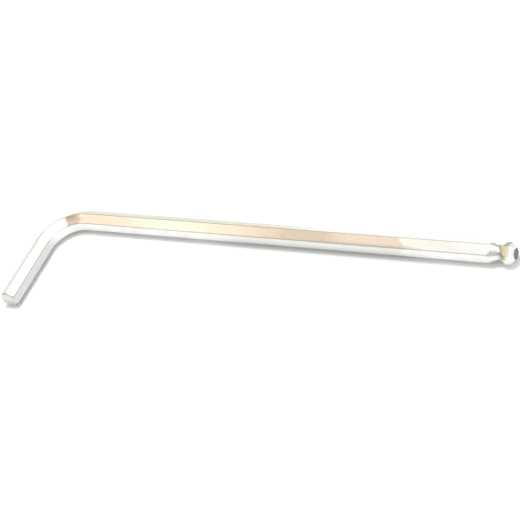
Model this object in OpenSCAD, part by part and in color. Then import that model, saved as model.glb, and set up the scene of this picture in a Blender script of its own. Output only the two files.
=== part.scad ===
// Hex key: a six-sided steel bar bent into two arms, with a ball on the end of the long one.
// The key lies flat, with a corner of the bar up. The origin is the middle of the short arm's
// end face, +Y runs along the short arm to the bend, and +X runs along the long arm to the ball.

/* [Bar] */
// Width of the bar across its flats
across_flats = 4; // [3.5:0.1:6]
// Height that rounding takes off each corner of the bar
corner_rounding = 0.06; // [0.02:0.01:0.15]

/* [Arms] */
// Length of the long arm, from the outside of the bend to the front of the ball
long_arm = 114; // [60:1:200]
// Length of the short arm, from the outside of the bend to its end face
short_arm = 27; // [20:0.5:60]
// Radius of the bend on the inside of the bar
bend_inside_r = 6.5; // [4:0.5:12]

/* [End of the short arm] */
// Length of the chamfer along the bar's corners
end_chamfer = 0.5; // [0.2:0.05:0.8]
// Angle between the chamfer and the bar's axis
end_chamfer_angle = 45; // [30:1:60]

/* [Ball end] */
// How much less the ball measures across its flats than the bar
ball_relief = 0.06; // [0.02:0.01:0.2]
// Distance from the middle of the ball to its flat front
ball_front = 1.65; // [1.2:0.05:1.9]
// Diameter of the neck at its narrowest
neck_d = 3.1; // [2.4:0.05:3.3]
// Distance from the narrowest point of the neck to the middle of the ball
neck_to_ball = 1.6; // [1.2:0.05:1.9]
// Radius of the hollow between the neck and the ball
neck_front_r = 1.35; // [1:0.05:1.8]
// Radius of the hollow between the neck and its taper
neck_back_r = 1.5; // [1:0.05:2]
// Angle between the taper behind the neck and the bar's axis
neck_taper_angle = 20; // [15:1:30]

/* [Hidden] */
$fn = 96;

flat_r = across_flats / 2;
sharp_r = across_flats / sqrt(3);
corner_r = sharp_r - corner_rounding;

// Centre line of the bend, which both arms run on to
bend_r = bend_inside_r + flat_r;
bend_start = short_arm - flat_r - bend_r;
long_axis_y = short_arm - flat_r;

// Places along the long arm's axis
tip_x = long_arm - flat_r;
ball_x = tip_x - ball_front;
neck_x = ball_x - neck_to_ball;
ball_flat_r = flat_r - ball_relief / 2;
ball_corner_r = corner_r - ball_relief / 2;
neck_r = neck_d / 2;
ball_root_r = (neck_r + ball_flat_r) / 2;

// Where the taper runs into the hollow of the neck
taper_x = neck_x - neck_back_r * sin(neck_taper_angle);
taper_r = neck_r + neck_back_r * (1 - cos(neck_taper_angle));

// Six-sided section with rounded corners, one of them up
module section() {
    intersection() {
        rotate(30) circle(r = sharp_r, $fn = 6);
        circle(r = corner_r);
    }
}

// Lays what is drawn along +Z on the long arm's axis, with its +Y side up
module on_long_axis() {
    translate([0, long_axis_y, 0]) rotate([90, 0, 90]) children();
}

// Lays what is drawn along +Z on the short arm's axis, with its +Y side up
module on_short_axis() {
    rotate([90, 0, 180]) children();
}

// Cone that chamfers the end of the short arm
module end_cone(length) {
    spread = tan(end_chamfer_angle);
    end_r = sharp_r - end_chamfer * spread;
    cylinder(h = length, r1 = end_r, r2 = end_r + length * spread);
}

module short_bar() {
    on_short_axis() intersection() {
        linear_extrude(bend_start) section();
        end_cone(bend_start);
    }
}

module bend() {
    translate([bend_r, bend_start, 0])
        rotate([0, 0, 90])
            rotate_extrude(angle = 90)
                translate([bend_r, 0]) section();
}

// Half of a round groove that runs round the axis, on one side of its narrowest point
module hollow(arc_r, side) {
    rotate_extrude() intersection() {
        translate([neck_r + arc_r, 0]) circle(r = arc_r);
        translate([neck_r, side > 0 ? 0 : -arc_r]) square([2 * arc_r, arc_r]);
    }
}

// Long arm up to the hollow, with a cone that tapers its end
module long_bar() {
    length = taper_x - bend_r;
    on_long_axis() translate([0, 0, bend_r]) intersection() {
        linear_extrude(length) section();
        cylinder(h = length, r1 = taper_r + length * tan(neck_taper_angle), r2 = taper_r);
    }
}

module neck() {
    on_long_axis() difference() {
        translate([0, 0, taper_x]) cylinder(h = neck_x - taper_x, r = taper_r);
        translate([0, 0, neck_x]) hollow(neck_back_r, -1);
    }
}

// Roller that gives the ball one pair of curved flats
module curved_flats(turn) {
    translate([0, 0, ball_x]) rotate([0, 0, turn]) rotate([90, 0, 0])
        cylinder(h = 2 * across_flats, r = ball_flat_r, center = true);
}

// Ball with its flat front, and the round root that joins it to the neck
module ball() {
    on_long_axis() difference() {
        union() {
            intersection() {
                translate([0, 0, neck_x]) cylinder(h = tip_x - neck_x, r = ball_corner_r);
                curved_flats(0);
                curved_flats(60);
                curved_flats(120);
            }
            translate([0, 0, neck_x]) cylinder(h = ball_x - neck_x, r = ball_root_r);
        }
        translate([0, 0, neck_x]) hollow(neck_front_r, 1);
    }
}

module hex_key() {
    color("silver") union() {
        short_bar();
        bend();
        long_bar();
        neck();
        ball();
    }
}

hex_key();
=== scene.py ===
"""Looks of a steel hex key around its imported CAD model, on a plain white floor.

Lengths are in metres, in the part's frame: the origin is the middle of the short arm's end face,
+Y runs along the short arm to the bend, +X along the long arm to the ball, and +Z is up.

The steel's material works in millimetres. A pair of places in it, such as CAST_RISE, is where a
tone is absent and where it is full. In a pair the first may be the larger.
"""

import math

import bpy
from mathutils import Matrix, Vector

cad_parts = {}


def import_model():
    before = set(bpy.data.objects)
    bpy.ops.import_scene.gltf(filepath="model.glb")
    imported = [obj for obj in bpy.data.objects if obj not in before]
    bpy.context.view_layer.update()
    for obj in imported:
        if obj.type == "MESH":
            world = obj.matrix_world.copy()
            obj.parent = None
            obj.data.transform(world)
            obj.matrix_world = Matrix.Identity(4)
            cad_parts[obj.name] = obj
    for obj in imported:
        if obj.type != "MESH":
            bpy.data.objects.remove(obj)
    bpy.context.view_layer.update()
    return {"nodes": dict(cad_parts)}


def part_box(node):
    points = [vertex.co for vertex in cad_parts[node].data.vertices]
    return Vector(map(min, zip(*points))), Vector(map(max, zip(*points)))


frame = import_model()

MM = 0.001

# Radius of the bend's centre line, and where the bend starts, as in part.scad
BEND_R = 8.5 * MM
BEND_START_Y = 16.5 * MM

# Camera, as fitted to the photo's outlines
CAMERA_AT = Vector((216.94, -151.53, 210.15)) * MM
CAMERA_AIM = Vector((57.27, 17.84, 0.0)) * MM
CAMERA_ROLL_DEG = -27.204
SENSOR_MM = 36
LENS_MM = 103.48
CLIP_START = 0.01
CLIP_END = 20

# Brightness of the room and of the softbox over it
ROOM_LEVEL = 0.56
SOFTBOX_LEVEL = 0.76
# Height of the softbox's edge in the room, as the Z of a direction of length 1, and half its softness
SOFTBOX_EDGE_Z = 0.75
SOFTBOX_EDGE_SOFTNESS = 0.07
# Point that every lamp faces
LAMP_AIM = Vector((0.05, 0.02, 0.0))

# The floor throws light back as pale grey, and is seen as white
FLOOR_SIZE = 3.0
FLOOR_MIDDLE = (0.06, 0.01)
FLOOR_GREY = (0.8, 0.8, 0.8, 1)
WHITE = (1, 1, 1, 1)

# Places of the colour sockets on Blender's mix node
MIX_A = 6
MIX_B = 7
MIX_RESULT = 2


class Nodes:
    """Short calls that add shader nodes to one tree and link them."""

    def __init__(self, tree):
        self.tree = tree
        tree.nodes.clear()

    def add(self, kind, **settings):
        node = self.tree.nodes.new(kind)
        for name, value in settings.items():
            setattr(node, name, value)
        return node

    def put(self, value, socket):
        """Links a socket, or sets a plain value."""
        if isinstance(value, bpy.types.NodeSocket):
            self.tree.links.new(value, socket)
        else:
            socket.default_value = value

    def math(self, operation, a, b=0.0, c=0.0):
        node = self.add("ShaderNodeMath", operation=operation)
        for value, socket in zip((a, b, c), node.inputs):
            self.put(value, socket)
        return node.outputs[0]

    def plus(self, a, b):
        return self.math("ADD", a, b)

    def minus(self, a, b):
        return self.math("SUBTRACT", a, b)

    def times(self, product, *factors):
        for factor in factors:
            product = self.math("MULTIPLY", product, factor)
        return product

    def at_least_0(self, value):
        return self.math("MAXIMUM", value, 0.0)

    def ramp(self, value, start, end):
        """Smooth step that is 0 at start and 1 at end; end may be the smaller of the two."""
        node = self.add("ShaderNodeMapRange", interpolation_type="SMOOTHSTEP")
        low, high = min(start, end), max(start, end)
        targets = (0.0, 1.0) if end > start else (1.0, 0.0)
        for v, socket in zip((value, low, high, *targets), node.inputs):
            self.put(v, socket)
        return node.outputs[0]

    def band(self, value, rise, fall):
        """1 between two soft edges, each a pair of values at which it is 0 and 1."""
        return self.times(self.ramp(value, *rise), self.ramp(value, *fall))

    def mix(self, factor, a, b):
        node = self.add("ShaderNodeMix", data_type="RGBA")
        self.put(factor, node.inputs["Factor"])
        self.put(a, node.inputs[MIX_A])
        self.put(b, node.inputs[MIX_B])
        return node.outputs[MIX_RESULT]

    def combine(self, x, y, z):
        node = self.add("ShaderNodeCombineXYZ")
        for value, socket in zip((x, y, z), node.inputs):
            self.put(value, socket)
        return node.outputs[0]

    def split(self, vector):
        node = self.add("ShaderNodeSeparateXYZ")
        self.put(vector, node.inputs[0])
        return [node.outputs[axis] for axis in "XYZ"]

    def noise(self, vector, scale, detail, roughness=0.5):
        node = self.add("ShaderNodeTexNoise")
        self.put(vector, node.inputs["Vector"])
        node.inputs["Scale"].default_value = scale
        node.inputs["Detail"].default_value = detail
        node.inputs["Roughness"].default_value = roughness
        return node.outputs["Fac"]


def srgb(red, green, blue):
    """A colour written as 0 to 255 in sRGB, as linear values."""
    def linear(v):
        v /= 255
        return v / 12.92 if v <= 0.04045 else ((v + 0.055) / 1.055) ** 2.4
    return (linear(red), linear(green), linear(blue), 1.0)


def bar_coordinates(n):
    """Millimetres: X and Y of the part, and along, outward and upward in the bent bar.

    Along is 0 where the bend ends and the long arm starts, and negative in the bend and the short
    arm. Outward and upward count from the bar's centre line.
    """
    position = n.add("ShaderNodeTexCoord").outputs["Object"]
    x, y, up = [n.times(metres, 1 / MM) for metres in n.split(position)]
    bend_r = BEND_R / MM
    bend_start_y = BEND_START_Y / MM
    towards_short = n.minus(bend_r, x)
    towards_long = n.minus(y, bend_start_y)
    short_side = n.at_least_0(towards_short)
    long_side = n.at_least_0(towards_long)
    squares = n.plus(n.times(short_side, short_side), n.times(long_side, long_side))
    out = n.minus(n.math("SQRT", squares), bend_r)
    on_long_arm = n.at_least_0(n.times(towards_short, -1.0))
    on_short_arm = n.at_least_0(n.times(towards_long, -1.0))
    turned = n.times(n.math("ARCTAN2", short_side, long_side), bend_r)
    along = n.minus(n.minus(on_long_arm, on_short_arm), turned)
    return x, y, along, out, up


# Height at which the upper facets meet the upright ones, and softness of the tones' edge there
FACET_EDGE = 1.1
FACET_EDGE_SOFTNESS = 0.05
# Outward, the inner side's edge
INNER_SIDE = (0.02, -0.02)
# Along the bar and in X, the two ends of the long arm's tint
TINT_START = (-5.6, -5.0)
TINT_END = (109.0, 108.2)

# Slow mottling, and fine lines stretched along the bar
NOISE_DETAIL = 3.0
MOTTLE_SCALE = 0.35
MOTTLE_MEAN = 0.5
MOTTLE_SHADES = (0.25, 0.75)
LINE_SCALE = 9.0
LINE_SQUEEZE = 0.03
LINE_NOISE_ROUGHNESS = 0.65
# Most that the mottling moves the edges of the tones, both ways together
PATCH_SHIFT = 9.0


class Bar:
    """Place of a point of the key's surface, masks of the facets, and the steel's patterns there."""

    def __init__(self, n):
        self.x, self.y, self.along, self.out, self.up = bar_coordinates(n)
        inner = n.ramp(self.out, *INNER_SIDE)
        above = n.ramp(self.up, FACET_EDGE, FACET_EDGE + FACET_EDGE_SOFTNESS)
        self.upper_inner = n.times(inner, above)
        self.upper_outer = n.times(n.minus(1.0, inner), above)
        self.lower_inner = n.times(inner, n.minus(1.0, above))
        self.tint_start = n.ramp(self.along, *TINT_START)
        self.long_arm = n.times(self.tint_start, n.ramp(self.x, *TINT_END))

        mottle = n.noise(n.combine(self.along, self.out, self.up), MOTTLE_SCALE, NOISE_DETAIL)
        self.shade = n.ramp(mottle, *MOTTLE_SHADES)
        shift = n.times(n.minus(mottle, MOTTLE_MEAN), PATCH_SHIFT)
        self.patchy_along = n.plus(self.along, shift)
        squeezed = n.combine(n.times(self.along, LINE_SQUEEZE), self.out, self.up)
        self.lines = n.noise(squeezed, LINE_SCALE, NOISE_DETAIL, LINE_NOISE_ROUGHNESS)


SILVER_DARK = srgb(210, 211, 210)
SILVER_LIGHT = srgb(224, 224, 222)
# Painted reflection: a brighter silver painted on the upper inner and upright inner facets
SILVER_SHEEN = srgb(250, 250, 247)
# Faint yellow cast on the short arm, next to the bend
YELLOW_CAST = srgb(248, 245, 222)
CAST_RISE = (-25.0, -16.5)
CAST_FALL = (-9.0, -16.0)


def bare_steel(n, bar):
    """Mottled silver, with the upper inner facet painted brighter as a painted reflection."""
    colour = n.mix(bar.shade, SILVER_DARK, SILVER_LIGHT)
    cast = n.band(bar.patchy_along, CAST_RISE, CAST_FALL)
    # Painted reflection: the upper inner facet is painted brighter
    return n.mix(bar.upper_inner, colour, n.mix(cast, SILVER_SHEEN, YELLOW_CAST))


# Painted reflection: the upright inner facets are painted lighter than the bare silver
INSIDE_SHEEN_DARK = srgb(236, 236, 233)
# Painted shade: the short arm's inner facets are painted greyer
SHORT_ARM_PAINTED_SHADE = srgb(218, 217, 218)
SHORT_ARM_SHADE_START = (-8.0, -15.0)
# Duller stretch of the long arm
INSIDE_DULL = srgb(222, 223, 218)
DULL_RISE = (33.0, 44.0)
DULL_FALL = (84.0, 76.0)
DULL_STRENGTH = 0.7
# Painted shade on the lower half, darker towards the floor, from the bend to the ball, and more of it
# on the dull stretch
LOW_SHADE = srgb(200, 200, 195)
LOW_SHADE_START = (-8.0, -2.0)
LOW_SHADE_HEIGHT = (0.3, -1.0)
LOW_SHADE_STRENGTH = 0.25
DULL_LOW_SHADE_STRENGTH = 0.6


def inner_facets(n, bar, colour):
    """The upright facets on the inside of the bend, and those below them, painted lighter as a
    painted reflection, with painted shade on the short arm and lower down.
    """
    dull = n.band(bar.patchy_along, DULL_RISE, DULL_FALL)
    # Painted reflection: lighter silver on the upright inner facets
    inside = n.mix(bar.shade, INSIDE_SHEEN_DARK, SILVER_SHEEN)
    inside = n.mix(n.times(dull, DULL_STRENGTH), inside, INSIDE_DULL)
    # Painted shade: greyer on the short arm
    inside = n.mix(n.ramp(bar.along, *SHORT_ARM_SHADE_START), inside, SHORT_ARM_PAINTED_SHADE)
    colour = n.mix(bar.lower_inner, colour, inside)
    # Painted shade: the inner facets darken towards the floor
    low_shade = n.times(n.ramp(bar.along, *LOW_SHADE_START), LOW_SHADE_STRENGTH)
    low_shade = n.math("MULTIPLY_ADD", dull, DULL_LOW_SHADE_STRENGTH, low_shade)
    low_shade = n.times(bar.lower_inner, n.ramp(bar.up, *LOW_SHADE_HEIGHT), low_shade)
    return n.mix(low_shade, colour, LOW_SHADE)


# Warm tints on the long arm's upper inner facet
DUSK = srgb(214, 191, 164)
PEACH = srgb(249, 230, 206)
LEMON = srgb(252, 246, 222)
TAN = srgb(216, 198, 175)
ROSE = srgb(236, 215, 195)
CREAM = srgb(246, 242, 231)
PEARL = srgb(252, 251, 244)
# Millimetres along the bar, and the tint there
WARM_TINTS = (
    (-5.3, ROSE),
    (-2.8, DUSK),
    (-1.0, PEACH),
    (10.0, PEACH),
    (17.0, LEMON),
    (27.0, LEMON),
    (38.0, PEACH),
    (54.0, TAN),
    (62.0, TAN),
    (68.0, ROSE),
    (81.0, ROSE),
    (83.0, CREAM),
    (92.0, CREAM),
    (98.0, PEARL),
)
# Towards the ball the tints' borders slant, by this many millimetres along for one up
WARM_TINT_SLANT = 4.0
SLANT_START = (60.0, 76.0)
# Brown band along the facet's lower edge, a painted darker reflection
EDGE_SHADE = srgb(190, 172, 160)
EDGE_SHADE_START = (54.0, 66.0)
EDGE_SHADE_END = (85.0, 81.0)
EDGE_SHADE_HEIGHT = (1.6, 1.15)
EDGE_SHADE_STRENGTH = 0.55
# Olive patch high on the facet, where the warm tints start
START_OLIVE = srgb(178, 168, 132)
START_OLIVE_END = (-1.5, -3.5)
START_OLIVE_HEIGHT = (1.5, 2.1)
START_OLIVE_STRENGTH = 0.7


def warm_tint_colour(n, along):
    """Warm tint by its place along the bar."""
    first, last = WARM_TINTS[0][0], WARM_TINTS[-1][0]
    node = n.add("ShaderNodeValToRGB")
    ramp = node.color_ramp
    while len(ramp.elements) < len(WARM_TINTS):
        ramp.elements.new(0.5)
    for element, (place, tint) in zip(ramp.elements, WARM_TINTS):
        element.position = (place - first) / (last - first)
        element.color = tint
    n.put(n.math("DIVIDE", n.minus(along, first), last - first), node.inputs["Fac"])
    return node.outputs["Color"]


def long_arm_tints(n, bar, colour):
    """The long arm's upper inner facet, with its warm tints."""
    tinted_facet = n.times(bar.upper_inner, bar.long_arm)
    slant = n.times(n.minus(bar.up, FACET_EDGE), n.ramp(bar.along, *SLANT_START))
    slanted_along = n.math("MULTIPLY_ADD", slant, WARM_TINT_SLANT, bar.patchy_along)
    colour = n.mix(tinted_facet, colour, warm_tint_colour(n, slanted_along))

    # Painted darker reflection along the facet's lower edge
    dark_edge = n.times(n.ramp(bar.up, *EDGE_SHADE_HEIGHT), n.ramp(bar.along, *EDGE_SHADE_START))
    dark_edge = n.times(dark_edge, n.ramp(bar.patchy_along, *EDGE_SHADE_END), tinted_facet)
    colour = n.mix(n.times(dark_edge, EDGE_SHADE_STRENGTH), colour, EDGE_SHADE)

    olive = n.times(bar.tint_start, n.ramp(bar.along, *START_OLIVE_END))
    olive = n.times(olive, tinted_facet, n.ramp(bar.up, *START_OLIVE_HEIGHT))
    return n.mix(n.times(olive, START_OLIVE_STRENGTH), colour, START_OLIVE)


# Painted reflection: the long arm's upper outer facet is painted near white
RIM_SHEEN_WHITE = srgb(247, 248, 244)
RIM_OLIVE = srgb(226, 225, 206)
RIM_OLIVE_END = (62.0, 48.0)
RIM_GREY = srgb(226, 227, 220)
RIM_SHORT_ARM = (-12.0, -16.0)


def outer_rim(n, bar, colour):
    """The upper outer facet: olive, then painted near white as a painted reflection on the long arm,
    and grey on the short arm.
    """
    # Painted reflection: near white on the long arm
    colour = n.mix(n.times(bar.upper_outer, bar.long_arm), colour, RIM_SHEEN_WHITE)
    olive = n.times(bar.upper_outer, n.ramp(bar.patchy_along, *RIM_OLIVE_END), bar.tint_start)
    colour = n.mix(olive, colour, RIM_OLIVE)
    grey = n.times(bar.upper_outer, n.ramp(bar.along, *RIM_SHORT_ARM))
    return n.mix(grey, colour, RIM_GREY)


# Places on the neck and the ball are in X, and the stain lies on their upper half
STAIN_HEIGHT = (-0.1, 0.3)
# Neck: peach that turns to ochre towards the ball, with olive lower down
NECK_RISE = (108.5, 109.5)
NECK_FALL = (110.5, 110.15)
NECK_STRENGTH = 0.9
NECK_PEACH = srgb(250, 232, 204)
NECK_OCHRE = srgb(216, 201, 166)
NECK_OCHRE_START = (109.4, 109.9)
NECK_OLIVE = srgb(166, 155, 119)
ABOVE_OLIVE = (1.1, 1.4)
# Back of the ball: straw, paler towards the front, on the inner side
STRAW_RISE = (110.1, 110.35)
STRAW_FALL = (111.05, 110.65)
STRAW_SIDE = (0.3, 0.0)
STRAW_STRENGTH = 0.9
STRAW_DARK = srgb(208, 194, 146)
STRAW_PALE = srgb(244, 232, 196)
STRAW_PALER = (110.2, 110.6)
# Smoky brown on the upper outer side
SMOKE = srgb(160, 147, 120)
SMOKE_RISE = (109.3, 109.9)
SMOKE_FALL = (111.0, 110.6)
SMOKE_STRENGTH = 0.85
# Painted highlight: the ball's upper front is painted bright
CROWN_HIGHLIGHT = srgb(246, 246, 248)
CROWN_HIGHLIGHT_START = (110.8, 111.1)
CROWN_HIGHLIGHT_HEIGHT = (0.2, 0.8)


def ball_end_stain(n, bar, colour):
    """Stain on the neck and the back of the ball, in front of which the ball's upper front has a
    painted highlight.
    """
    stained = n.ramp(bar.up, *STAIN_HEIGHT)
    neck = n.times(n.band(bar.x, NECK_RISE, NECK_FALL), stained)
    above = n.mix(n.ramp(bar.x, *NECK_OCHRE_START), NECK_PEACH, NECK_OCHRE)
    neck_colour = n.mix(n.ramp(bar.up, *ABOVE_OLIVE), NECK_OLIVE, above)
    colour = n.mix(n.times(neck, NECK_STRENGTH), colour, neck_colour)

    straw = n.band(bar.x, STRAW_RISE, STRAW_FALL)
    straw = n.times(straw, stained, n.ramp(bar.out, *STRAW_SIDE))
    straw_colour = n.mix(n.ramp(bar.x, *STRAW_PALER), STRAW_DARK, STRAW_PALE)
    colour = n.mix(n.times(straw, STRAW_STRENGTH), colour, straw_colour)

    smoke = n.times(n.band(bar.x, SMOKE_RISE, SMOKE_FALL), bar.upper_outer)
    colour = n.mix(n.times(smoke, SMOKE_STRENGTH), colour, SMOKE)

    # Painted highlight on the ball's upper front
    crown_highlight = n.times(n.ramp(bar.x, *CROWN_HIGHLIGHT_START), n.ramp(bar.up, *CROWN_HIGHLIGHT_HEIGHT))
    return n.mix(crown_highlight, colour, CROWN_HIGHLIGHT)


# The ball's flat front in X, which has no plating, and the short arm's end face in Y
BALL_FRONT = (111.93, 111.97)
BALL_FRONT_COLOUR = srgb(134, 126, 106)
END_FACE = (0.06, 0.03)
# Painted shade: the end face is painted darker towards the floor
END_FACE_SHADED = srgb(206, 206, 200)
END_FACE_LIT = srgb(231, 231, 226)
END_FACE_HEIGHT = (-1.6, 0.8)


def cut_faces(n, bar, colour):
    """Colour with the cut faces at both ends, the end face darker towards the floor as painted shade,
    and a mask of those faces.
    """
    front = n.ramp(bar.x, *BALL_FRONT)
    colour = n.mix(front, colour, BALL_FRONT_COLOUR)
    end = n.ramp(bar.y, *END_FACE)
    # Painted shade, darker towards the floor
    end_colour = n.mix(n.ramp(bar.up, *END_FACE_HEIGHT), END_FACE_SHADED, END_FACE_LIT)
    return n.mix(end, colour, end_colour), n.math("MAXIMUM", front, end)


ROUGHNESS = 0.2
LINE_ROUGHNESS = 0.12
CUT_FACE_ROUGHNESS = 0.25
BUMP_STRENGTH = 0.25
BUMP_HEIGHT = 0.02 * MM


def steel_material():
    """Lightly plated steel with lengthwise drawing lines, a warm tint and duller cut faces."""
    material = bpy.data.materials.new("plated_steel")
    material.use_nodes = True
    n = Nodes(material.node_tree)
    bar = Bar(n)
    colour = bare_steel(n, bar)
    colour = inner_facets(n, bar, colour)
    colour = long_arm_tints(n, bar, colour)
    colour = outer_rim(n, bar, colour)
    colour = ball_end_stain(n, bar, colour)
    colour, cut = cut_faces(n, bar, colour)

    shader = n.add("ShaderNodeBsdfPrincipled")
    shader.inputs["Metallic"].default_value = 1.0
    n.put(colour, shader.inputs["Base Color"])
    rough = n.math("MULTIPLY_ADD", bar.lines, LINE_ROUGHNESS, ROUGHNESS)
    rough = n.plus(rough, n.times(cut, CUT_FACE_ROUGHNESS))
    n.put(rough, shader.inputs["Roughness"])

    bump = n.add("ShaderNodeBump")
    bump.inputs["Strength"].default_value = BUMP_STRENGTH
    bump.inputs["Distance"].default_value = BUMP_HEIGHT
    n.put(bar.lines, bump.inputs["Height"])
    n.put(bump.outputs[0], shader.inputs["Normal"])
    output = n.add("ShaderNodeOutputMaterial")
    n.put(shader.outputs[0], output.inputs["Surface"])
    return material


def seen_directly(n):
    """1 for what the camera sees, also in metal or through glass, and 0 for what lights the scene."""
    path = n.add("ShaderNodeLightPath")
    seen = n.math("MAXIMUM", path.outputs["Is Camera Ray"], path.outputs["Is Glossy Ray"])
    return n.math("MAXIMUM", seen, path.outputs["Is Transmission Ray"])


def floor(level):
    """Large pale floor, white to the camera except where the key keeps light off it."""
    bpy.ops.mesh.primitive_plane_add(size=FLOOR_SIZE, location=(*FLOOR_MIDDLE, level))
    plane = bpy.context.object
    plane.name = "floor"
    material = bpy.data.materials.new("white_floor")
    material.use_nodes = True
    n = Nodes(material.node_tree)
    diffuse = n.add("ShaderNodeBsdfDiffuse")
    n.put(n.mix(seen_directly(n), FLOOR_GREY, WHITE), diffuse.inputs["Color"])
    output = n.add("ShaderNodeOutputMaterial")
    n.put(diffuse.outputs[0], output.inputs["Surface"])
    plane.data.materials.append(material)


def world():
    """Grey room with a wide white softbox overhead."""
    studio = bpy.data.worlds.new("studio")
    bpy.context.scene.world = studio
    studio.use_nodes = True
    n = Nodes(studio.node_tree)
    height = n.split(n.add("ShaderNodeTexCoord").outputs["Generated"])[2]
    lowest = SOFTBOX_EDGE_Z - SOFTBOX_EDGE_SOFTNESS
    highest = SOFTBOX_EDGE_Z + SOFTBOX_EDGE_SOFTNESS
    softbox = n.ramp(height, lowest, highest)
    level = n.math("MULTIPLY_ADD", softbox, SOFTBOX_LEVEL - ROOM_LEVEL, ROOM_LEVEL)
    background = n.add("ShaderNodeBackground")
    background.inputs["Color"].default_value = WHITE
    n.put(level, background.inputs["Strength"])
    output = n.add("ShaderNodeOutputWorld")
    n.put(background.outputs[0], output.inputs["Surface"])


def area_lamp(name, watts, size, towards, distance):
    """Round soft lamp that faces the key from one direction."""
    data = bpy.data.lights.new(name, "AREA")
    data.shape = "DISK"
    data.size = size
    data.energy = watts
    lamp = bpy.data.objects.new(name, data)
    bpy.context.scene.collection.objects.link(lamp)
    direction = Vector(towards).normalized()
    lamp.location = LAMP_AIM + direction * distance
    lamp.rotation_mode = "QUATERNION"
    lamp.rotation_quaternion = (-direction).to_track_quat("-Z", "Y")


def camera():
    """Camera turned to its aim, then rolled about its own axis."""
    data = bpy.data.cameras.new("camera")
    data.sensor_width = SENSOR_MM
    data.lens = LENS_MM
    data.clip_start = CLIP_START
    data.clip_end = CLIP_END
    cam = bpy.data.objects.new("camera", data)
    bpy.context.scene.collection.objects.link(cam)
    turn = (CAMERA_AIM - CAMERA_AT).to_track_quat("-Z", "Y").to_matrix()
    roll = Matrix.Rotation(math.radians(CAMERA_ROLL_DEG), 3, "Z")
    cam.rotation_mode = "QUATERNION"
    cam.rotation_quaternion = (turn @ roll).to_quaternion()
    cam.location = CAMERA_AT
    bpy.context.scene.camera = cam


bpy.context.scene.view_settings.view_transform = "Standard"

key = frame["nodes"]["hex_key"]
steel = steel_material()
for slot in key.material_slots:
    slot.material = steel

camera()
floor(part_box("hex_key")[0].z)
world()
area_lamp("key", watts=2.5, size=0.17, towards=(-0.05, 0.12, 1.0), distance=0.8)
area_lamp("left_fill", watts=0.43, size=0.60, towards=(-0.59, -0.28, 0.76), distance=1.0)
area_lamp("back_fill", watts=0.35, size=0.50, towards=(0.22, 0.46, 0.86), distance=1.0)
area_lamp("right_fill", watts=1.2, size=1.00, towards=(0.75, -0.10, 0.62), distance=1.0)
